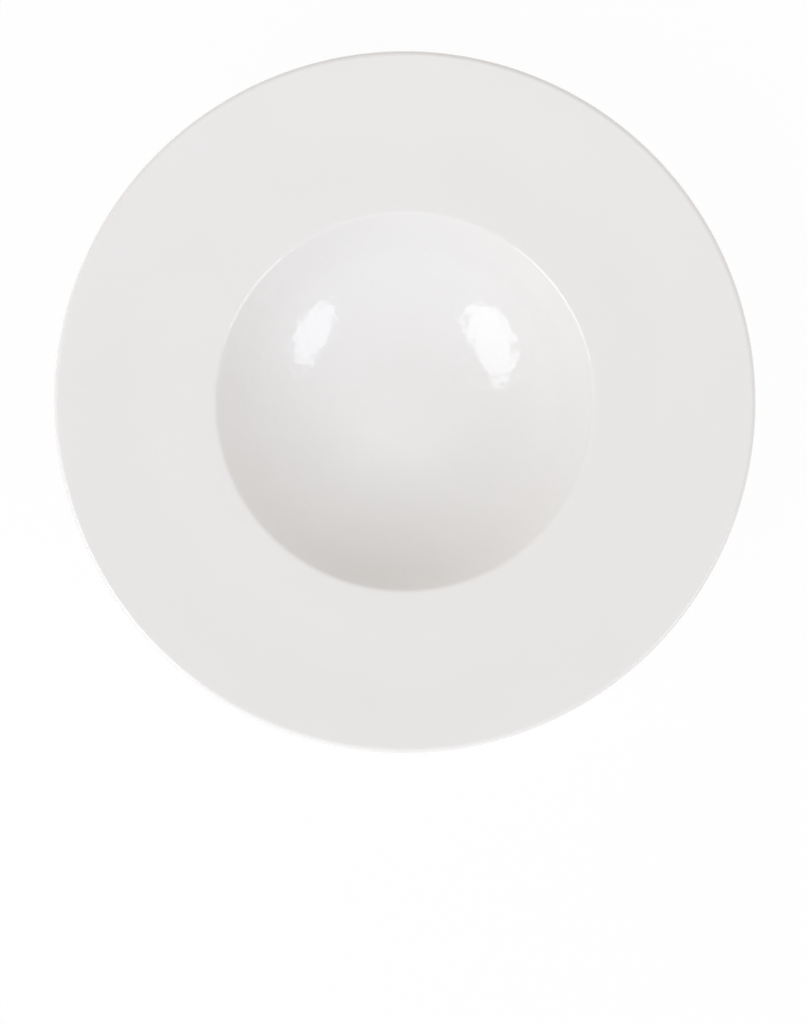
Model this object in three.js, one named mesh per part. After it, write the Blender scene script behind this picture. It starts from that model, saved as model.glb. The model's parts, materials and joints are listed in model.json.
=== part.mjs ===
// A wide-rimmed risotto plate: one fired porcelain body, with a skin of glaze over all of it but the foot.
// Lengths are in millimetres and angles in degrees. +Z is up.
// The origin is on the plate's axis, on the surface that the plate stands on.
import * as THREE from 'three';

// Overall sizes, measured over the glaze
const RIM_DIAMETER = 270;
const OVERALL_HEIGHT = 54.2;

// The rim, under the glaze: its upper face is a little hollow, with one slope at the lip and a lower one at the
// well that run into each other in a wide curve, and its underside is straight
const LIP_THICKNESS = 6;
const LIP_TOP_RADIUS = 1.3;
const LIP_UNDERSIDE_RADIUS = 2.6;
const RIM_OUTER_SLOPE = 13;
const RIM_INNER_SLOPE = 7;
const RIM_CURVE_DIAMETER = 208;
const RIM_CURVE_RADIUS = 200;
const RIM_UNDERSIDE_SLOPE = 10;

// The well, under the glaze: its width is where the rim breaks into the well
const WELL_DIAMETER = 146.6;
const WELL_WALL_SLOPE = 54;
const WELL_EDGE_RADIUS = 2.2;
const WELL_FLOOR_RADIUS = 62;
const FLOOR_THICKNESS = 7;

// The conical underside: its width is where it meets the underside of the rim
const CONE_DIAMETER = 157.4;
const CONE_RIM_RADIUS = 10;

// The foot ring and the recess inside it
const FOOT_DIAMETER = 79;
const FOOT_RING_WIDTH = 5;
const FOOT_EDGE_RADIUS = 0.8;
const RECESS_DEPTH = 3.4;
const RECESS_WALL_LEAN = 30;
const RECESS_RADIUS = 2;

// The glaze: its skin, the hair's gap that keeps it off the body, and the height of the line where it stops
const GLAZE_THICKNESS = 0.3;
const GLAZE_GAP = 0.05;
const GLAZE_LINE_HEIGHT = 1.2;

// How far a chord may stray from a round stretch of the section, and the number of facets round the axis
const CHORD_ERROR = 0.06;
const FACETS_ROUND = 56;

// Section points closer than this are one point
const SAME_POINT = 1e-6;

// How far the face of the glaze stands off the body
const GLAZE_FACE = GLAZE_GAP + GLAZE_THICKNESS;

const { degToRad } = THREE.MathUtils;

// The section lies in a plane through the axis: x is the distance from the axis, and y is the height.
function point(radius, height) {
  return new THREE.Vector2(radius, height);
}

function direction(slope) {
  return point(Math.cos(degToRad(slope)), Math.sin(degToRad(slope)));
}

// The direction square to another one, to its left
function leftOf(heading) {
  return point(-heading.y, heading.x);
}

// A point reached from a start by going some way along a heading
function along(start, heading, distance) {
  return start.clone().addScaledVector(heading, distance);
}

// Where the line from a along u crosses the line from b along v
function crossing(a, u, b, v) {
  return along(a, u, b.clone().sub(a).cross(v) / u.cross(v));
}

// The body's section as corners with the radius that rounds each. It runs from the middle of the well's floor
// outwards, round the lip, down the underside and across the foot to the middle of the recess.
function bodyCorners() {
  const level = direction(0);
  const upright = direction(90);

  // The lip: the plate's height is over its upper rounding, and the plate's width is over its lower one
  const outwards = direction(RIM_OUTER_SLOPE);
  const lipFace = LIP_THICKNESS - LIP_TOP_RADIUS - LIP_UNDERSIDE_RADIUS;
  const inset = along(point(0, 0), outwards, LIP_TOP_RADIUS - LIP_UNDERSIDE_RADIUS);
  const betweenCentres = along(inset, leftOf(outwards), -lipFace);
  const lipCentre = point(
    RIM_DIAMETER / 2 - GLAZE_FACE - LIP_UNDERSIDE_RADIUS - betweenCentres.x,
    OVERALL_HEIGHT - GLAZE_FACE - LIP_TOP_RADIUS,
  );
  const rimTop = along(lipCentre, leftOf(outwards), LIP_TOP_RADIUS);
  const lipTop = along(rimTop, outwards, LIP_TOP_RADIUS);
  const lipUnderside = along(lipTop, leftOf(outwards), -LIP_THICKNESS);

  const rimCurve = crossing(rimTop, outwards, point(RIM_CURVE_DIAMETER / 2, 0), upright);
  const wellEdge = crossing(rimCurve, direction(RIM_INNER_SLOPE), point(WELL_DIAMETER / 2, 0), upright);
  const floorMiddle = point(0, RECESS_DEPTH + FLOOR_THICKNESS);
  const floorCorner = crossing(floorMiddle, level, wellEdge, direction(WELL_WALL_SLOPE));
  const coneTop = crossing(lipUnderside, direction(RIM_UNDERSIDE_SLOPE), point(CONE_DIAMETER / 2, 0), upright);

  const footRadius = FOOT_DIAMETER / 2;
  const recessEdge = footRadius - FOOT_RING_WIDTH;
  const recessCorner = recessEdge - RECESS_DEPTH * Math.tan(degToRad(RECESS_WALL_LEAN));

  return [
    { at: floorMiddle, radius: 0 },
    { at: floorCorner, radius: WELL_FLOOR_RADIUS },
    { at: wellEdge, radius: WELL_EDGE_RADIUS },
    { at: rimCurve, radius: RIM_CURVE_RADIUS },
    { at: lipTop, radius: LIP_TOP_RADIUS },
    { at: lipUnderside, radius: LIP_UNDERSIDE_RADIUS },
    { at: coneTop, radius: CONE_RIM_RADIUS },
    { at: point(footRadius, 0), radius: FOOT_EDGE_RADIUS },
    { at: point(recessEdge, 0), radius: FOOT_EDGE_RADIUS },
    { at: point(recessCorner, RECESS_DEPTH), radius: RECESS_RADIUS },
    { at: point(0, RECESS_DEPTH), radius: 0 },
  ];
}

// The straight edges between corners, each with its heading and its length
function edgesBetween(corners) {
  return corners.slice(1).map((corner, i) => {
    const span = corner.at.clone().sub(corners[i].at);
    return { heading: span.clone().normalize(), length: span.length() };
  });
}

// How far each rounding reaches along its two edges. Two roundings that would meet on a short edge share it.
function roundingReaches(corners, turns, edges) {
  const wanted = corners.map((corner, i) => corner.radius * Math.tan(Math.abs(turns[i]) / 2));
  const fits = edges.map((edge, i) => {
    const needed = Math.max(wanted[i] + wanted[i + 1], SAME_POINT);
    return Math.min(1, edge.length / needed);
  });
  return wanted.map((reach, i) => reach * Math.min(fits[i - 1] ?? 1, fits[i] ?? 1));
}

// Points along one rounded corner, each with the direction that faces out of the body there
function roundedCorner(corner, turn, reach, heading) {
  if (reach === 0) {
    return [{ at: corner.at, facing: leftOf(heading) }];
  }
  const side = Math.sign(turn);
  const radius = reach / Math.tan(Math.abs(turn) / 2);
  const centre = along(along(corner.at, heading, -reach), leftOf(heading), side * radius);
  const widestStep = 2 * Math.acos(Math.max(0, 1 - CHORD_ERROR / radius));
  const steps = Math.ceil(Math.abs(turn) / widestStep);
  return Array.from({ length: steps + 1 }, (_, i) => {
    const facing = leftOf(heading).rotateAround(point(0, 0), (turn * i) / steps);
    return { at: along(centre, facing, -side * radius), facing };
  });
}

// The whole section with its corners rounded
function roundedOutline(corners) {
  const edges = edgesBetween(corners);
  const turns = corners.map((_, i) => {
    const before = edges[i - 1]?.heading ?? edges[i].heading;
    const after = edges[i]?.heading ?? before;
    return Math.atan2(before.cross(after), before.dot(after));
  });
  const reaches = roundingReaches(corners, turns, edges);
  const samples = corners.flatMap((corner, i) => {
    const heading = edges[i - 1]?.heading ?? edges[i].heading;
    return roundedCorner(corner, turns[i], reaches[i], heading);
  });
  return samples.filter((sample, i) => i === 0 || sample.at.distanceTo(samples[i - 1].at) > SAME_POINT);
}

// The outline cut at a height. Neighbouring stretches share the point where they were cut.
function stretchesCutAt(height, outline) {
  const stretches = [[outline[0]]];
  outline.slice(1).forEach((next, i) => {
    const last = outline[i];
    if ((last.at.y - height) * (next.at.y - height) < 0) {
      const share = (height - last.at.y) / (next.at.y - last.at.y);
      const cut = {
        at: last.at.clone().lerp(next.at, share),
        facing: last.facing.clone().lerp(next.facing, share).normalize(),
      };
      stretches.at(-1).push(cut);
      stretches.push([cut]);
    }
    stretches.at(-1).push(next);
  });
  return stretches;
}

// The points of a stretch, moved out of the body by some height
function raised(stretch, height) {
  return stretch.map((sample) => along(sample.at, sample.facing, height));
}

// The closed section of a skin: forwards along its face and backwards along its inner side
function skin(stretch) {
  return [...raised(stretch, GLAZE_FACE), ...raised(stretch, GLAZE_GAP).toReversed()];
}

// A solid of revolution about +Z. Its section starts and ends on the axis, with the solid on its right.
function turned(section) {
  const geometry = new THREE.LatheGeometry(section.toReversed(), FACETS_ROUND);
  return geometry.rotateX(Math.PI / 2);
}

function piece(name, geometry, look) {
  const mesh = new THREE.Mesh(geometry, new THREE.MeshStandardMaterial(look));
  mesh.name = name;
  return mesh;
}

function porcelainBody(outline) {
  const look = { color: 0xeae6df, roughness: 0.75, metalness: 0 };
  return piece('porcelain_body', turned(raised(outline, 0)), look);
}

function glazeCoat(stretch) {
  const look = { color: 0xf1f0ee, roughness: 0.1, metalness: 0 };
  return piece('glaze_coat', turned(skin(stretch)), look);
}

// This stretch ends on the axis and starts at the glaze line, so it is followed from its end.
function footRecessGlaze(stretch) {
  const look = { color: 0xf0eeec, roughness: 0.16, metalness: 0 };
  const section = [...raised(stretch, GLAZE_GAP).toReversed(), ...raised(stretch, GLAZE_FACE)];
  return piece('foot_recess_glaze', turned(section), look);
}

const outline = roundedOutline(bodyCorners());
const [outside, , recess] = stretchesCutAt(GLAZE_LINE_HEIGHT, outline);

const plate = new THREE.Group();
plate.name = 'risotto_plate';
plate.add(porcelainBody(outline));
plate.add(glazeCoat(outside));
plate.add(footRecessGlaze(recess));

export default plate;
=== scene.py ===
"""Looks of a glazed porcelain risotto plate, built round its CAD frame.

Lengths are in metres. +Z is up.
The origin is on the plate's axis, on the surface that the plate stands on.
"""

import json
import math

import bpy
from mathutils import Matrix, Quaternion, Vector, noise


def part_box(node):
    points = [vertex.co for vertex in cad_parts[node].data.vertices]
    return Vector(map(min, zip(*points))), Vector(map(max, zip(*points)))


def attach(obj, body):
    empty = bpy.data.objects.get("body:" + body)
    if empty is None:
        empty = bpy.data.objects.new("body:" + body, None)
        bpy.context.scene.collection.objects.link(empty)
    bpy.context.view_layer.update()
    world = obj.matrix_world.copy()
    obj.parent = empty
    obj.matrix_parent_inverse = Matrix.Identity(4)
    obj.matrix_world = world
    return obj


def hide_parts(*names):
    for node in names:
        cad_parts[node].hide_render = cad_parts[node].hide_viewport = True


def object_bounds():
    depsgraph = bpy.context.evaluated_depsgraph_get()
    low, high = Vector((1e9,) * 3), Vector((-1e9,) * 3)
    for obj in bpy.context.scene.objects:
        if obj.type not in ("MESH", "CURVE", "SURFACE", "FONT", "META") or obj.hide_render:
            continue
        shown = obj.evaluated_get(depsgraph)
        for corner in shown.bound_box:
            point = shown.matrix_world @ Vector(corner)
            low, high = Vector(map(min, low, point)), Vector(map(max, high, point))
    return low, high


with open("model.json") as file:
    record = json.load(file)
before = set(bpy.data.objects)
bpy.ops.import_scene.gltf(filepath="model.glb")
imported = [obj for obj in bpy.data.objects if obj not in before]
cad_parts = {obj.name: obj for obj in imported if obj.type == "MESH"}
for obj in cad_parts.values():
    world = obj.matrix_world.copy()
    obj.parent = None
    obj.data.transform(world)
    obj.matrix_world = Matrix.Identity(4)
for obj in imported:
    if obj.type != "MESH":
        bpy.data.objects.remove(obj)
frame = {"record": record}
CAD_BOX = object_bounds()
BASE_COLOURS = {row["slot"]: row["base_color"] for row in frame["record"]["materials"]}
MM = 0.001

# The rim, under the glaze: its upper face bends from the slope at the lip to the gentler one at the well
LIP_THICKNESS = 6 * MM
LIP_TOP_ROUND = 1.3 * MM
LIP_UNDERSIDE_ROUND = 2.6 * MM
RIM_OUTER_SLOPE = math.radians(13)
RIM_INNER_SLOPE = math.radians(7)
RIM_CURVE_RADIUS = 104 * MM
RIM_CURVE_ROUND = 200 * MM
RIM_UNDERSIDE_SLOPE = math.radians(10)

# The well, under the glaze
WELL_RADIUS = 73.3 * MM
WELL_WALL_SLOPE = math.radians(54)
WELL_EDGE_ROUND = 2.2 * MM
WELL_FLOOR_ROUND = 62 * MM
FLOOR_THICKNESS = 7 * MM

# The conical underside, the foot ring and the recess inside it
CONE_RADIUS = 78.7 * MM
CONE_RIM_ROUND = 10 * MM
FOOT_RADIUS = 39.5 * MM
FOOT_RING_WIDTH = 5 * MM
FOOT_EDGE_ROUND = 0.8 * MM
RECESS_DEPTH = 3.4 * MM
RECESS_WALL_LEAN = math.radians(30)
RECESS_ROUND = 2 * MM

# The glaze: how far its back and its face stand off the porcelain, and where and how it ends above the foot
GLAZE_BACK = 0.05 * MM
GLAZE_FACE = 0.35 * MM
GLAZE_LINE_HEIGHT = 1.2 * MM
GLAZE_EDGE_ROUND = 0.6 * MM

# Unevenness of dipped glaze: a slow swell of its face, and the wander of the line where it was wiped off
SWELL_DEPTH = 0.06 * MM
SWELL_LENGTH = 45 * MM
WANDER_DEPTH = 0.25 * MM
WANDER_LENGTH = 12 * MM
WANDER_REACH = 3 * MM

# How finely the pieces are divided along their section, at the glaze's edge and round the axis
ARC_STEP = math.radians(5)
EDGE_STEP = 3 * MM
GLAZE_EDGE_STEPS = 8
FACETS_ROUND = 320

# A section point closer to the axis than this lies on it
ON_AXIS = 1e-9

# Clouding and gloss of the glaze, its orange peel, and its pinholes
CLOUD_LENGTH = 30 * MM
CLOUD_DETAIL = 2.0
CLOUD_SHARE = 0.012
RECESS_CLOUD_SHARE = 0.024
GLOSS_LENGTH = 9 * MM
GLAZE_ROUGHNESS = (0.1, 0.14)
RECESS_ROUGHNESS = (0.14, 0.24)
PEEL_LENGTH = 3.6 * MM
PEEL_DEPTH = 0.16 * MM
PEEL_DETAIL = 0.5
PEEL_CALMS_FROM = 76 * MM
PEEL_CALM_AT = 90 * MM
PEEL_ON_RIM = 0.45
PINHOLE_SPACING = 12 * MM
PINHOLE_RADIUS = 0.35 * MM
PINHOLE_DEPTH = 0.1 * MM
GLAZE_IOR = 1.5

# Turning rings under the recess's glaze, and the grain and grinding marks of the bare foot
TURNING_LENGTH = 2.4 * MM
TURNING_DEPTH = 0.12 * MM
FOOT_ROUGHNESS = (0.62, 0.82)
GRAIN_LENGTH = 0.25 * MM
GRAIN_DEPTH = 0.03 * MM
GRINDING_LENGTH = 0.4 * MM
GRINDING_SHARE = 0.05
RING_DETAIL = 1.0

# The photograph's frame and the place of its upper view in pixels, and the camera over the plate
PHOTO_WIDTH = 807
PHOTO_HEIGHT = 1024
PLATE_CENTRE_PX = (404.7, 402.1)
PLATE_RADIUS_PX = 351.4
CAMERA_HEIGHT = 1.05
SENSOR_WIDTH_MM = 36

# The studio's lamps, with angles in degrees: two soft boxes, and two cards that gloss doesn't mirror
KEY_SOFTBOX = {
    "azimuth": 215.5,
    "elevation": 45.5,
    "distance": 1.2,
    "width": 0.81,
    "height": 0.57,
    "roll": -55,
    "radiance": (3.4, 3.6, 3.95),
    "mirrored": True,
}
FILL_SOFTBOX = {
    "azimuth": 323,
    "elevation": 38.5,
    "distance": 4.0,
    "width": 2.22,
    "height": 1.64,
    "roll": 50,
    "radiance": (3.0, 3.2, 3.65),
    "mirrored": True,
}
WHITE_CARD = {
    "azimuth": 185,
    "elevation": 14,
    "distance": 2.5,
    "width": 2.0,
    "height": 0.8,
    "roll": 0,
    "radiance": (1.6, 1.6, 1.6),
    "mirrored": False,
}
FLOOR_CARD = {
    "azimuth": 0,
    "elevation": -90,
    "distance": 0.05 * MM,
    "width": 1.2,
    "height": 1.2,
    "roll": 0,
    "radiance": (0.2, 0.196, 0.188),
    "mirrored": False,
}

# Even light from all round, and a matt floor that shows nearly white
EVEN_LIGHT = (0.614, 0.588, 0.563)
FLOOR_HALF_SIDE = 4.0
FLOOR_HEIGHT = -0.1 * MM
FLOOR_GREY = 0.95
FLOOR_WHITE_SHARE = 0.95
FLOOR_ROUGHNESS = 1.0
FLOOR_SPECULAR = 0.0


def heading(angle):
    return Vector((math.cos(angle), math.sin(angle)))


def left_of(way):
    return Vector((-way.y, way.x))


def crossing(a, u, b, v):
    """Where the line from a along u crosses the line from b along v."""
    return a + u * ((b - a).cross(v) / u.cross(v))


def upright_at(radius):
    """A point and a direction that give the upright line at a distance from the axis."""
    return Vector((radius, 0)), Vector((0, 1))


def body_corners():
    """The porcelain's section as corners, each with the radius that rounds it.

    It runs from the well's middle outwards, round the lip, down the cone and across the foot to the axis.
    """
    _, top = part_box("glaze_coat")
    outwards = heading(RIM_OUTER_SLOPE)
    lip_face = LIP_THICKNESS - LIP_TOP_ROUND - LIP_UNDERSIDE_ROUND
    between_centres = outwards * (LIP_TOP_ROUND - LIP_UNDERSIDE_ROUND) - left_of(outwards) * lip_face
    lip_radius = top.x - GLAZE_FACE - LIP_UNDERSIDE_ROUND - between_centres.x
    lip_centre = Vector((lip_radius, top.z - GLAZE_FACE - LIP_TOP_ROUND))
    rim_top = lip_centre + left_of(outwards) * LIP_TOP_ROUND
    lip_top = rim_top + outwards * LIP_TOP_ROUND
    lip_underside = lip_top - left_of(outwards) * LIP_THICKNESS
    rim_curve = crossing(rim_top, outwards, *upright_at(RIM_CURVE_RADIUS))
    well_edge = crossing(rim_curve, heading(RIM_INNER_SLOPE), *upright_at(WELL_RADIUS))
    floor_middle = Vector((0, RECESS_DEPTH + FLOOR_THICKNESS))
    floor_corner = crossing(floor_middle, Vector((1, 0)), well_edge, heading(WELL_WALL_SLOPE))
    cone_top = crossing(lip_underside, heading(RIM_UNDERSIDE_SLOPE), *upright_at(CONE_RADIUS))
    recess_edge = FOOT_RADIUS - FOOT_RING_WIDTH
    recess_corner = recess_edge - RECESS_DEPTH * math.tan(RECESS_WALL_LEAN)
    return [
        (floor_middle, 0),
        (floor_corner, WELL_FLOOR_ROUND),
        (well_edge, WELL_EDGE_ROUND),
        (rim_curve, RIM_CURVE_ROUND),
        (lip_top, LIP_TOP_ROUND),
        (lip_underside, LIP_UNDERSIDE_ROUND),
        (cone_top, CONE_RIM_ROUND),
        (Vector((FOOT_RADIUS, 0)), FOOT_EDGE_ROUND),
        (Vector((recess_edge, 0)), FOOT_EDGE_ROUND),
        (Vector((recess_corner, RECESS_DEPTH)), RECESS_ROUND),
        (Vector((0, RECESS_DEPTH)), 0),
    ]


def rounded_corner(before, at, after, radius):
    """Marks round one corner: points, each with the direction that faces out of the porcelain there."""
    arriving = (at - before).normalized()
    leaving = (after - at).normalized()
    turn = math.atan2(arriving.cross(leaving), arriving.dot(leaving))
    side = math.copysign(1, turn)
    start = at - arriving * radius * math.tan(abs(turn) / 2)
    centre = start + left_of(arriving) * side * radius
    angle = math.atan2(arriving.y, arriving.x)
    # No step of the arc is wider than ARC_STEP or longer than EDGE_STEP
    steps = math.ceil(abs(turn) * max(1 / ARC_STEP, radius / EDGE_STEP))
    facings = [left_of(heading(angle + turn * i / steps)) for i in range(steps + 1)]
    return [(centre - facing * side * radius, facing) for facing in facings]


def between(mark, next_mark, share):
    return tuple(a.lerp(b, share) for a, b in zip(mark, next_mark))


def length_between(mark, next_mark):
    return (next_mark[0] - mark[0]).length


def porcelain_outline():
    """The porcelain's whole section: rounded corners, and straight stretches divided into short steps."""
    corners = body_corners()
    marks = [(corners[0][0], Vector((0, 1)))]
    for (before, _), (at, radius), (after, _) in zip(corners, corners[1:], corners[2:]):
        marks += rounded_corner(before, at, after, radius)
    marks.append((corners[-1][0], Vector((0, -1))))
    outline = marks[:1]
    for mark, next_mark in zip(marks, marks[1:]):
        steps = math.ceil(length_between(mark, next_mark) / EDGE_STEP)
        outline += [between(mark, next_mark, i / steps) for i in range(1, steps + 1)]
    return outline


def stretches_cut_at(height, outline):
    """The outline cut wherever it crosses a height. Neighbouring stretches share the mark at the cut."""
    stretches = [outline[:1]]
    for mark, next_mark in zip(outline, outline[1:]):
        above = mark[0].y - height
        next_above = next_mark[0].y - height
        if above * next_above < 0:
            cut = between(mark, next_mark, above / (above - next_above))
            stretches[-1].append(cut)
            stretches.append([cut])
        stretches[-1].append(next_mark)
    return stretches


def distances_along(stretch):
    """How far from its start each mark of a stretch lies."""
    distances = [0.0]
    for mark, next_mark in zip(stretch, stretch[1:]):
        distances.append(distances[-1] + length_between(mark, next_mark))
    return distances


def mark_at(distance, stretch):
    """The mark at a distance along a stretch."""
    for mark, next_mark in zip(stretch, stretch[1:]):
        length = length_between(mark, next_mark)
        if distance <= length:
            return between(mark, next_mark, distance / length)
        distance -= length
    return stretch[-1]


def with_close_start(stretch):
    """A stretch with close marks at its start, where the glaze's edge is round."""
    shares = [(i / GLAZE_EDGE_STEPS) ** 2 for i in range(GLAZE_EDGE_STEPS + 1)]
    close = [mark_at(GLAZE_EDGE_ROUND * share, stretch) for share in shares]
    spaced = zip(stretch, distances_along(stretch))
    return close + [mark for mark, distance in spaced if distance > GLAZE_EDGE_ROUND]


def around(point, theta):
    """A section point turned about the plate's axis."""
    return Vector((point.x * math.cos(theta), point.x * math.sin(theta), point.y))


def wander(at, theta):
    """How far the glaze line strays along the surface, at an angle round the axis."""
    return WANDER_DEPTH * noise.noise(around(at, theta) / WANDER_LENGTH)


def swell(place):
    """How far the glaze's face sinks below its full height at a place, from nothing to the whole depth."""
    return SWELL_DEPTH * (1 + noise.noise(place / SWELL_LENGTH)) / 2


def ring_of(at, place):
    """One ring of vertices round the axis, or a single vertex on it."""
    if at.x < ON_AXIS:
        return [place(0.0)]
    return [place(2 * math.pi * i / FACETS_ROUND) for i in range(FACETS_ROUND)]


def porcelain_ring(at):
    return ring_of(at, lambda theta: around(at, theta))


def glaze_rings(stretch):
    """Rings of a glaze skin's face and of its back.

    The skin's stretch starts at the glaze line and ends on the axis.
    """
    marks = with_close_start(stretch)
    line = marks[0][0]
    line_way = (marks[1][0] - line).normalized()

    def ring(at, facing, distance, on_face):
        # The line's wander dies away behind it, and the face rises from it in a quarter round
        hold = max(0.0, 1 - distance / WANDER_REACH)
        slack = 1 - min(1.0, distance / GLAZE_EDGE_ROUND)
        fullness = math.sqrt(1 - slack ** 2) if on_face else 0.0

        def place(theta):
            moved = at + line_way * (hold * wander(line, theta))
            height = GLAZE_FACE - GLAZE_BACK - swell(around(moved, theta))
            return around(moved + facing * (GLAZE_BACK + height * fullness), theta)

        return ring_of(at, place)

    spaced = [(*mark, distance) for mark, distance in zip(marks, distances_along(marks))]
    face = [ring(*mark, True) for mark in spaced]
    back = [ring(*mark, False) for mark in spaced[1:]]
    return face, back


def faces_between(start_a, size_a, start_b, size_b):
    """Faces between two neighbouring rings, either of which may be a single vertex on the axis."""
    faces = []
    for i in range(FACETS_ROUND):
        j = (i + 1) % FACETS_ROUND
        if size_a == 1:
            faces.append((start_a, start_b + i, start_b + j))
        elif size_b == 1:
            faces.append((start_a + i, start_b, start_a + j))
        else:
            faces.append((start_a + i, start_b + i, start_b + j, start_a + j))
    return faces


def turned_mesh(name, rings):
    """A smooth mesh through a run of rings from axis to axis.

    It faces outwards if the solid is on the run's right.
    """
    vertices = [tuple(vertex) for ring in rings for vertex in ring]
    faces = []
    start = 0
    for ring, next_ring in zip(rings, rings[1:]):
        faces += faces_between(start, len(ring), start + len(ring), len(next_ring))
        start += len(ring)
    mesh = bpy.data.meshes.new(name)
    mesh.from_pydata(vertices, [], faces)
    mesh.polygons.foreach_set("use_smooth", [True] * len(faces))
    return mesh


def add_object(name, data):
    thing = bpy.data.objects.new(name, data)
    bpy.context.scene.collection.objects.link(thing)
    return thing


def add_piece(name, rings, material, node):
    """A piece of the plate that stands for a CAD node."""
    mesh = turned_mesh(name, rings)
    mesh.materials.append(material)
    piece = add_object(name, mesh)
    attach(piece, "root")
    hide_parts(node)


def add_node(tree, kind, inputs, **settings):
    """A shader node. Each of its inputs takes another node's output or a constant."""
    node = tree.nodes.new("ShaderNode" + kind)
    for name, value in settings.items():
        setattr(node, name, value)
    for name, value in inputs.items():
        if isinstance(value, bpy.types.NodeSocket):
            tree.links.new(value, node.inputs[name])
        else:
            node.inputs[name].default_value = value
    return node


def new_material(name):
    """A material, its node tree, its surface shader, and the place on the object."""
    material = bpy.data.materials.new(name)
    material.use_nodes = True
    tree = material.node_tree
    place = add_node(tree, "TexCoord", {}).outputs["Object"]
    return material, tree, tree.nodes["Principled BSDF"], place


def cloud(tree, place, length, detail=CLOUD_DETAIL):
    """Soft random clouds of a size."""
    node = add_node(tree, "TexNoise", {"Vector": place, "Scale": 1 / length, "Detail": detail})
    return node.outputs["Fac"]


def from_axis(tree, place):
    """The distance from the plate's axis."""
    flat = add_node(tree, "VectorMath", {0: place, 1: (1, 1, 0)}, operation="MULTIPLY")
    return add_node(tree, "VectorMath", {0: flat.outputs["Vector"]}, operation="LENGTH").outputs["Value"]


def rings_round_axis(tree, place, length):
    """Random rings round the plate's axis, of a breadth."""
    inputs = {"W": from_axis(tree, place), "Scale": 1 / length, "Detail": RING_DETAIL}
    return add_node(tree, "TexNoise", inputs, noise_dimensions="1D").outputs["Fac"]


def pinholes(tree, place):
    """1 on even glaze, falling to 0 at a few scattered points."""
    points = add_node(tree, "TexVoronoi", {"Vector": place, "Scale": 1 / PINHOLE_SPACING})
    inputs = {"Value": points.outputs["Distance"], "From Max": PINHOLE_RADIUS / PINHOLE_SPACING}
    return add_node(tree, "MapRange", inputs, interpolation_type="SMOOTHSTEP").outputs["Result"]


def peel_strength(tree, place):
    """1 in the well, where the glaze is thickest and most uneven, falling to a share of it on the rim."""
    inputs = {
        "Value": from_axis(tree, place),
        "From Min": PEEL_CALMS_FROM,
        "From Max": PEEL_CALM_AT,
        "To Min": 1.0,
        "To Max": PEEL_ON_RIM,
    }
    return add_node(tree, "MapRange", inputs).outputs["Result"]


def tinted(tree, pattern, colour, share):
    """A colour that a pattern makes darker or paler by a share."""
    node = add_node(tree, "ValToRGB", {"Fac": pattern})
    for element, factor in zip(node.color_ramp.elements, (1 - share, 1 + share)):
        element.color = [channel * factor for channel in colour] + [1]
    return node.outputs["Color"]


def spread(tree, pattern, limits):
    """A pattern spread between two values."""
    low, high = limits
    inputs = {"Value": pattern, "To Min": low, "To Max": high}
    return add_node(tree, "MapRange", inputs).outputs["Result"]


def bumped(tree, pattern, depth, **others):
    """The surface's direction with a pattern raised on it.

    Other inputs are its strength and a bump below it.
    """
    return add_node(tree, "Bump", {"Height": pattern, "Distance": depth, **others}).outputs["Normal"]


def set_surface(tree, shader, colour, roughness, normal):
    tree.links.new(colour, shader.inputs["Base Color"])
    tree.links.new(roughness, shader.inputs["Roughness"])
    tree.links.new(normal, shader.inputs["Normal"])


def gloss_glaze():
    """Clear gloss glaze over white porcelain: faintly clouded, with a fine orange peel and a few pinholes."""
    material, tree, shader, place = new_material("gloss_glaze")
    shader.inputs["IOR"].default_value = GLAZE_IOR
    colour = tinted(tree, cloud(tree, place, CLOUD_LENGTH), BASE_COLOURS["gloss_glaze"], CLOUD_SHARE)
    roughness = spread(tree, cloud(tree, place, GLOSS_LENGTH), GLAZE_ROUGHNESS)
    waves = cloud(tree, place, PEEL_LENGTH, PEEL_DETAIL)
    peel = bumped(tree, waves, PEEL_DEPTH, Strength=peel_strength(tree, place))
    pitted = bumped(tree, pinholes(tree, place), PINHOLE_DEPTH, Normal=peel)
    set_surface(tree, shader, colour, roughness, pitted)
    return material


def recess_glaze():
    """The glaze inside the foot ring: duller, over faint turning rings, with pinholes."""
    material, tree, shader, place = new_material("recess_glaze")
    shader.inputs["IOR"].default_value = GLAZE_IOR
    clouds = cloud(tree, place, CLOUD_LENGTH)
    colour = tinted(tree, clouds, BASE_COLOURS["recess_glaze"], RECESS_CLOUD_SHARE)
    roughness = spread(tree, cloud(tree, place, GLOSS_LENGTH), RECESS_ROUGHNESS)
    turning = bumped(tree, rings_round_axis(tree, place, TURNING_LENGTH), TURNING_DEPTH)
    pitted = bumped(tree, pinholes(tree, place), PINHOLE_DEPTH, Normal=turning)
    set_surface(tree, shader, colour, roughness, pitted)
    return material


def bare_porcelain():
    """Fired porcelain without glaze: matt, with a fine grain and the marks of grinding round the foot."""
    material, tree, shader, place = new_material("bare_porcelain")
    grinding = rings_round_axis(tree, place, GRINDING_LENGTH)
    grain = cloud(tree, place, GRAIN_LENGTH)
    colour = tinted(tree, grinding, BASE_COLOURS["bare_porcelain"], GRINDING_SHARE)
    roughness = spread(tree, grain, FOOT_ROUGHNESS)
    set_surface(tree, shader, colour, roughness, bumped(tree, grain, GRAIN_DEPTH))
    return material


def make_plate():
    """The plate's three pieces. Each run of rings has its solid on the right."""
    outline = porcelain_outline()
    outside, _, recess = stretches_cut_at(GLAZE_LINE_HEIGHT, outline)
    porcelain = [porcelain_ring(at) for at, _ in outline]
    add_piece("fired_porcelain", porcelain, bare_porcelain(), "porcelain_body")
    face, back = glaze_rings(outside[::-1])
    add_piece("outer_glaze", face[::-1] + back, gloss_glaze(), "glaze_coat")
    face, back = glaze_rings(recess)
    add_piece("recess_glaze", back[::-1] + face, recess_glaze(), "foot_recess_glaze")


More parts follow.
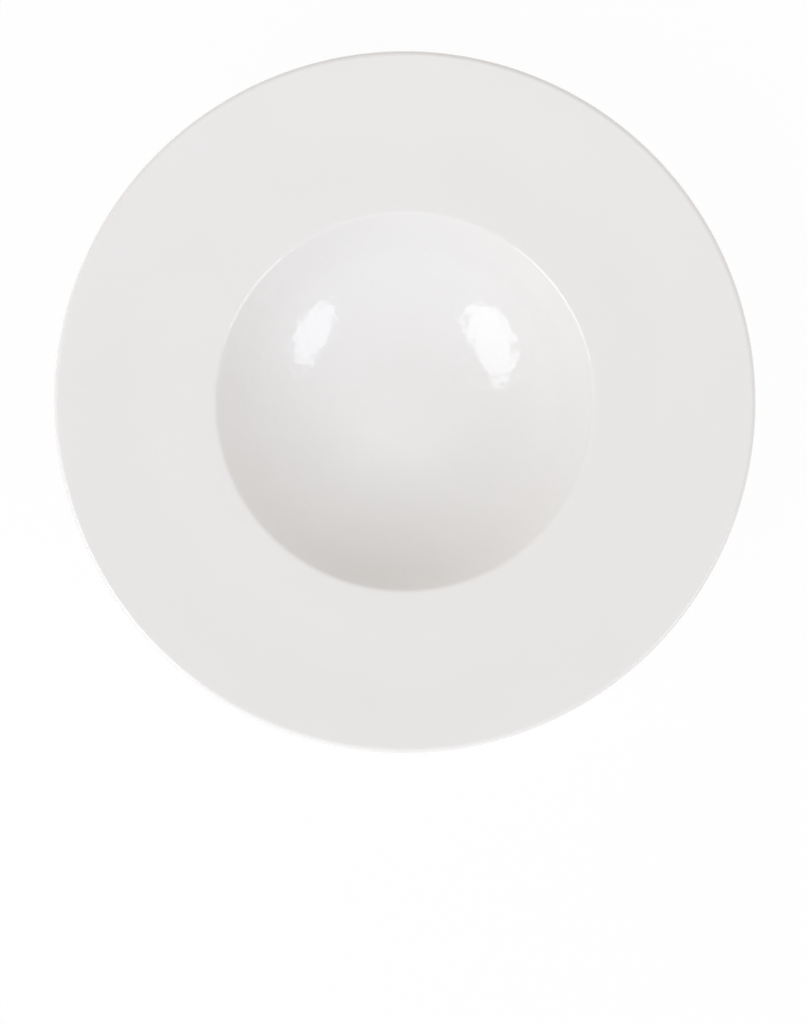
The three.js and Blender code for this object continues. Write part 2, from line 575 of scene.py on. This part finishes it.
def seen_ray(tree):
    """1 for a ray that shows a thing, straight, mirrored or through glass, and 0 for one that only lights."""
    path = add_node(tree, "LightPath", {})
    seen = path.outputs["Is Camera Ray"]
    for name in ("Is Glossy Ray", "Is Transmission Ray"):
        seen = add_node(tree, "Math", {0: seen, 1: path.outputs[name]}, operation="MAXIMUM").outputs["Value"]
    return seen


def floor_white():
    """A pale matt floor that shows nearly white and keeps the plate's shadow."""
    material, tree, shader, _ = new_material("floor_white")
    shader.inputs["Base Color"].default_value = (FLOOR_GREY, FLOOR_GREY, FLOOR_GREY, 1)
    shader.inputs["Roughness"].default_value = FLOOR_ROUGHNESS
    shader.inputs["Specular IOR Level"].default_value = FLOOR_SPECULAR
    white = add_node(tree, "Emission", {}).outputs["Emission"]
    share = add_node(tree, "Math", {0: seen_ray(tree), 1: FLOOR_WHITE_SHARE}, operation="MULTIPLY")
    mix = add_node(tree, "MixShader", {"Fac": share.outputs["Value"], 1: shader.outputs["BSDF"], 2: white})
    tree.links.new(mix.outputs["Shader"], tree.nodes["Material Output"].inputs["Surface"])
    return material


def make_floor():
    """A floor a hair below the foot, so that the two faces are apart."""
    sides = [(-1, -1), (1, -1), (1, 1), (-1, 1)]
    corners = [(x * FLOOR_HALF_SIDE, y * FLOOR_HALF_SIDE, FLOOR_HEIGHT) for x, y in sides]
    mesh = bpy.data.meshes.new("floor")
    mesh.from_pydata(corners, [], [(0, 1, 2, 3)])
    mesh.materials.append(floor_white())
    add_object("floor", mesh)


def make_lamp(name, azimuth, elevation, distance, width, height, roll, radiance, mirrored):
    """An oval soft box or card, rolled about its own axis, that faces the origin. Gloss mirrors it or not."""
    light = bpy.data.lights.new(name, "AREA")
    light.shape = "ELLIPSE"
    light.size = width
    light.size_y = height
    area = math.pi * width * height / 4
    light.energy = math.pi * area * max(radiance)
    light.color = [channel / max(radiance) for channel in radiance]
    level = heading(math.radians(azimuth)) * math.cos(math.radians(elevation))
    away = Vector((level.x, level.y, math.sin(math.radians(elevation))))
    lamp = add_object(name, light)
    lamp.visible_glossy = mirrored
    lamp.location = away * distance
    lamp.rotation_mode = "QUATERNION"
    lamp.rotation_quaternion = away.to_track_quat("Z", "Y") @ Quaternion((0, 0, 1), math.radians(roll))


def make_world():
    """Even light from all round, which shows as white."""
    world = bpy.data.worlds.new("studio")
    world.use_nodes = True
    tree = world.node_tree
    tree.nodes["Background"].inputs["Color"].default_value = (*EVEN_LIGHT, 1)
    light = tree.nodes["Background"].outputs["Background"]
    white = add_node(tree, "Background", {"Color": (1, 1, 1, 1)}).outputs["Background"]
    mix = add_node(tree, "MixShader", {"Fac": seen_ray(tree), 1: light, 2: white})
    tree.links.new(mix.outputs["Shader"], tree.nodes["World Output"].inputs["Surface"])
    bpy.context.scene.world = world


def make_camera():
    """A camera straight above the plate, with the plate where the photograph's upper view has it.

    From there the plate looks widest at about the middle of its lip.
    The sensor's width spans the frame's longer side, which is its height.
    """
    _, high = CAD_BOX
    lip_height = high.z - GLAZE_FACE - LIP_THICKNESS / 2
    focal_px = PLATE_RADIUS_PX * (CAMERA_HEIGHT - lip_height) / high.x
    data = bpy.data.cameras.new("camera")
    data.sensor_width = SENSOR_WIDTH_MM
    data.lens = focal_px * SENSOR_WIDTH_MM / PHOTO_HEIGHT
    data.shift_x = (PHOTO_WIDTH / 2 - PLATE_CENTRE_PX[0]) / PHOTO_HEIGHT
    data.shift_y = (PLATE_CENTRE_PX[1] - PHOTO_HEIGHT / 2) / PHOTO_HEIGHT
    camera = add_object("camera", data)
    camera.location = (0, 0, CAMERA_HEIGHT)
    bpy.context.scene.camera = camera


make_plate()
make_floor()
make_lamp("key_softbox", **KEY_SOFTBOX)
make_lamp("fill_softbox", **FILL_SOFTBOX)
make_lamp("white_card", **WHITE_CARD)
make_lamp("floor_card", **FLOOR_CARD)
make_world()
make_camera()
bpy.context.scene.view_settings.view_transform = "Standard"
